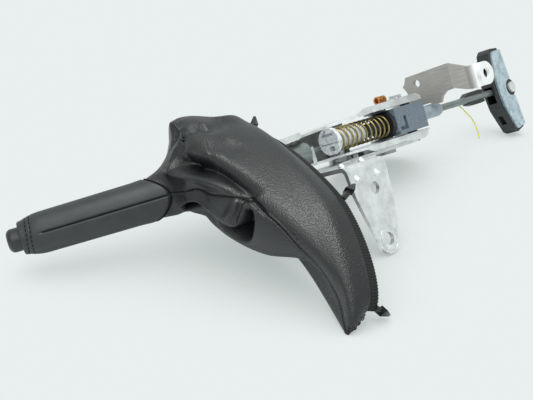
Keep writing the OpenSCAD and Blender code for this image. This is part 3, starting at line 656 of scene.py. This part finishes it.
# each fold: height out of the surface (minus for a valley) and half width in mm, then the line it follows
folds = [
    (5, 5, [(0.96, 14), (1.18, 40), (1.46, 63), (1.82, 80), (2.26, 88), (3.04, 86), (3.48, 88), (3.8, 90),
            (3.95, 96)]),
    (-9, 6, [(1.5, 48), (1.84, 66), (2.74, 73), (3.42, 74), (3.82, 77), (4.08, 82), (4.32, 87),
             (4.46, 93)]),
    (-5, 6, [(1.5, 48), (2.2, 66), (2.9, 69), (3.6, 70)]),
    (2.5, 4, [(1.7, 48), (2.12, 60), (2.94, 62), (3.82, 60), (4.54, 55)]),
    (-2.5, 3, [(1.88, 94), (2.5, 98), (2.98, 96), (3.34, 96), (3.8, 94)]),
    (3.5, 3.2, [(3.9, 97), (3.66, 106), (3.32, 118), (3, 133)]),
    (-4, 1.7, [(4.02, 98), (3.87, 102), (3.75, 107), (3.5, 117), (3.24, 130)]),
    (3, 2.4, [(3.42, 128), (3.84, 108), (4.04, 101), (4.22, 98), (4.36, 104)]),
    (-4, 1.7, [(3.98, 96.5), (4.14, 96), (4.28, 94), (4.4, 97.5), (4.56, 106)]),
    (2, 4, [(1.5, 120), (2.1, 131), (2.54, 131), (3.1, 129)]),
    (-5, 9, [(2.1, 350), (2.15, 14), (2.1, 36)]),
    (-1.8, 1.5, [(2.6, 4), (2.8, 17), (3.04, 26), (3.2, 30), (3.44, 34), (3.62, 39)]),
    (-1.8, 1.5, [(2.42, -7), (2.56, 16), (2.7, 29), (2.92, 36), (3.34, 41)]),
    (-1.6, 1.4, [(2.2, -7), (2.34, 22), (2.56, 31), (2.76, 36), (3.06, 43)]),
    (-2, 1.5, [(2.36, 28), (2.1, 33), (1.8, 38), (1.4, 43)]),
    (-2, 1.5, [(2.56, 39), (2.3, 42), (1.98, 46), (1.6, 52)]),
    (-2, 1.5, [(2.84, 45), (2.6, 48), (2.28, 53), (1.95, 60)]),
    (-2.6, 6, [(3.5, 37), (4.02, 30), (4.5, 25)]),
    (-3, 4.5, [(4.1, 33), (4.82, 23), (5.4, 8)]),
    (2, 7, [(5.4, 16), (5.8, 10), (6.4, 4)]),
    (-2.5, 9, [(3.8, 55), (4.56, 48), (5.3, 43)]),
    (-7, 8, [(1.8, 240), (2.8, 256), (4, 268)]),
    (5, 8, [(1.8, 222), (2.8, 236), (4.2, 246)]),
    (-5, 7, [(2.2, 300), (3.4, 312), (4.6, 322)]),
    (-4, 6, [(4.4, 215), (5.2, 232), (6, 246)]),
    (-1.7, 1.2, side_seam), (-0.9, 1.6, horn_seam)]
# the slack leather tucks under itself below the side seam: depth, width of its edge, outline
tuck_depth, tuck_edge = 17, 4.5
tuck = [(1.2, 130), (1.5, 124), (1.8, 128), (2.14, 136), (2.54, 136), (2.98, 136), (3.2, 134), (3.44, 126),
        (3.76, 113), (3.98, 105), (4.18, 103), (4.08, 112), (3.84, 128), (3.56, 149), (3.26, 160),
        (2.9, 160), (2.5, 164), (2.14, 166), (1.64, 152), (1.3, 144)]
tuck = tuck + tuck[:1]


def within(outline, loop, angle):
    """Which of the bag's points lie inside a closed outline of (loop number, degrees)."""
    inside = np.zeros((len(loop), len(angle)), bool)
    for (loop0, angle0), (loop1, angle1) in zip(outline, np.roll(outline, -1, 0)):
        crosses = (angle0 > angle) != (angle1 > angle)
        edge = (loop1 - loop0)*(angle - angle0)/(angle1 - angle0 + 1e-9) + loop0
        inside ^= crosses[None, :] & (loop[:, None] < edge[None, :])
    return inside


lift = np.zeros(bag.shape[:2])
for height, half_width, line in folds:
    places, normals = on_bag(line)
    away = np.linalg.norm(bag[:, :, None] - places[None, None], axis=3)
    nearest = away.argmin(2)
    # a fold fades out at its ends, and where the leather faces another way
    fade = np.sin(math.pi*nearest/(len(places) - 1))**0.5
    fade = fade*np.clip((bag_normal*normals[nearest]).sum(2)/0.5 + 0.3, 0, 1)
    lift += height*fade*np.exp(-(away.min(2)/half_width)**2)
places, normals = on_bag(tuck)
away = np.linalg.norm(bag[:, :, None] - places[None, None], axis=3).min(2)
reach = np.clip(away/tuck_edge, 0, 1)
lift -= tuck_depth*within(smooth_path(tuck, 8), bag_loop, bag_angle % 360)*reach*reach*(3 - 2*reach)
bag = bag + bag_normal*lift[:, :, None]
# two light passes of smoothing round the folds off as leather does
for _ in range(2):
    middle = (np.roll(bag, 1, 1) + np.roll(bag, -1, 1))/2
    middle[1:-1] = middle[1:-1]/2 + (bag[2:] + bag[:-2])/4
    bag[1:-1] = bag[1:-1]*0.5 + middle[1:-1]*0.5
bag_normal = outward(bag)
gaiter = grid_piece("gaiter_bag", to_frame(bag))
bpy.context.view_layer.objects.active = gaiter
gaiter.select_set(True)
wall = gaiter.modifiers.new("leather", "SOLIDIFY")
wall.thickness = 0.0014
wall.offset = -1
bpy.ops.object.modifier_apply(modifier="leather")
gaiter.select_set(False)

# Drummed cow hide: a pebbled grain about 0.9 mm across, half matt, that glints on the ridges.
hide, tree, surface, place = new_finish("pebbled_leather", 0, 0.4)
patch = add(tree, "ShaderNodeTexNoise", {"Vector": place["Object"], "Scale": 1/0.03, "Detail": 2})
tones = two_tone(tree, patch.outputs["Fac"], 0.3, "#111314", 0.7, "#181a1b")
tree.links.new(tones, surface.inputs["Base Color"])
pebble = add(tree, "ShaderNodeTexVoronoi", {"Vector": place["Object"], "Scale": 1/0.0009},
             feature="SMOOTH_F1")
grain = add(tree, "ShaderNodeBump",
            {"Height": pebble.outputs["Distance"], "Strength": 0.6, "Distance": 0.0005})
tree.links.new(grain.outputs["Normal"], surface.inputs["Normal"])
gaiter.data.materials.append(hide)
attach(gaiter, "lever")
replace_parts(gaiter, "gaiter")


# Gaiter seams: the panels meet in a closed seam from the collar to the big fold,
# and in a welted seam with top stitching down the horn's lower edge to the hem.
welt_radius, welt_shift, welt_sink = 0.0009, 1.2, 0.25
top_stitch_shift, thread_rise = 3.4, 0.05
places, normals = on_bag(side_seam)
side_line = to_frame(places - thread_rise*normals)
sewn(grid_piece("gaiter_seam_side", tube_rows(side_line, 0.0005, 8), caps=True))
places, normals = on_bag(horn_seam)
way = np.gradient(places, axis=0)
across = np.cross(normals, way/np.linalg.norm(way, axis=1)[:, None])
for side, shift in (("upper", welt_shift), ("lower", -welt_shift)):
    welt_line = to_frame(places + shift*across - welt_sink*normals)
    sewn(grid_piece("gaiter_welt_" + side, tube_rows(welt_line, welt_radius, 10), caps=True), hide)
horn_line = to_frame(places + thread_rise*normals)
sewn(grid_piece("gaiter_seam_horn", tube_rows(horn_line, 0.00045, 8), caps=True))
sewn(stitch_row("gaiter_top_stitches", to_frame(places + top_stitch_shift*across), normals,
                length=0.0026, gap=0.0014, radius=0.00034))


# Hem band: a ribbed black webbing folded over the gaiter's open edge and sewn
# round it, which keeps the edge in shape where it goes into the console.
top, near, bottom = [np.array(v, float) for v in hem_loop[:3]]
hem_out = np.cross(top - bottom, near - (top + bottom)/2)
hem_out = hem_out/np.linalg.norm(hem_out)
hem_steps, hem_ribs = 1040, 208
rib_rise, rib_groove = 0.25, 0.55
turn = np.arange(hem_steps)*2*math.pi/hem_steps
# ribs are spaced evenly along the edge, not by angle
edge = loop_points(hem_loop, turn)
run = run_along(np.vstack([edge, edge[:1]]))
even = np.interp(np.arange(hem_steps)/hem_steps*run[-1], run, np.append(turn, 2*math.pi))
edge = loop_points(hem_loop, even)
inward = edge.mean(0) - edge
inward = inward - np.outer(inward @ hem_out, hem_out)
inward = inward/np.linalg.norm(inward, axis=1)[:, None]
rib = np.abs(np.sin(np.arange(hem_steps)/hem_steps*math.pi*hem_ribs))
# the band's section: millimetres out past the gaiter's edge, and in from it
band_section = [(0.2, 0.6), (1, 0.2), (2.4, 0.15), (3.4, 0.5), (3.8, 0.5), (4.8, 0.15), (6.2, 0.2),
                (6.9, 0.7), (7, 1.6), (6.8, 2.6), (5, 3), (2, 3), (0.3, 2.5)]
band_rows = np.array([[edge[i] + (x + (rib_rise*rib[i] if x > 6 else 0))*hem_out
                       + (d + (rib_groove*(1 - rib[i]) if d < 1 else 0))*inward[i]
                       for x, d in band_section] for i in range(hem_steps)])
band = grid_piece("hem_webbing", to_frame(band_rows), closed_rows=True)
# Polyester cord webbing: matt and nearly black, so only its ribs catch the light. Specks of lint
# are drawn 1.2 mm across, coarse enough to show.
webbing, tree, surface, place = new_finish("ribbed_polyester_webbing", 0, 0.85)
lint = add(tree, "ShaderNodeTexNoise", {"Vector": place["Object"], "Scale": 1/0.0012, "Detail": 4})
tones = two_tone(tree, lint.outputs["Fac"], 0.35, "#070808", 0.7, "#161718")
tree.links.new(tones, surface.inputs["Base Color"])
band.data.materials.append(webbing)
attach(band, "lever")
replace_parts(band, "hem_band")


# Hem clips: three black nylon barbs moulded with a flat stem and sewn to the band,
# which snap into the console; the top one leans up where the slack leather rolls.
barb_width, barb_tip, barb_length, barb_flatness = 0.0062, 0.0016, 0.0075, 0.6
barb_seat = 3
stem_width, stem_thickness = 0.0042, 0.0028
clip_rise, clip_inset = 6.4, 1.5


def hem_clip(name, angle, lean, stem_length):
    """One barb on the band at an angle round its edge, leaning up from the band by the given share."""
    foot = loop_points(hem_loop, np.radians([angle]))[0]
    to_middle = edge.mean(0) - foot
    foot = foot + clip_rise*hem_out + clip_inset*to_middle/np.linalg.norm(to_middle)
    way = Vector(hem_out + lean*upward).normalized()
    spin = way.to_track_quat("Z", "Y").to_euler()
    bpy.ops.mesh.primitive_cone_add(vertices=4, radius1=barb_width, radius2=barb_tip, depth=barb_length,
                                    rotation=spin, scale=(1, barb_flatness, 1),
                                    location=to_frame(foot + np.array(way)*(stem_length + barb_seat)))
    head = bpy.context.object
    bpy.ops.mesh.primitive_cube_add(size=1, rotation=spin,
                                    scale=(stem_width, stem_thickness, stem_length/1000),
                                    location=to_frame(foot + np.array(way)*stem_length/2))
    clip = bpy.context.object
    clip.name = name
    head.select_set(True)
    bpy.ops.object.join()
    bpy.ops.object.transform_apply(location=True, rotation=True, scale=True)
    rounding = clip.modifiers.new("rounding", "BEVEL")
    rounding.width = 0.0003
    rounding.segments = 2
    bpy.ops.object.modifier_apply(modifier="rounding")
    bpy.ops.object.shade_smooth_by_angle(angle=0.6)
    clip.select_set(False)
    clip.data.materials.append(black_nylon)
    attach(clip, "lever")
    return clip


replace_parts(hem_clip("hem_clip_top", -11, 2.2, 11), "hem_clips")
hem_clip("hem_clip_middle", 88, 0.8, 8.5)
hem_clip("hem_clip_lower", 171, -0.4, 6)
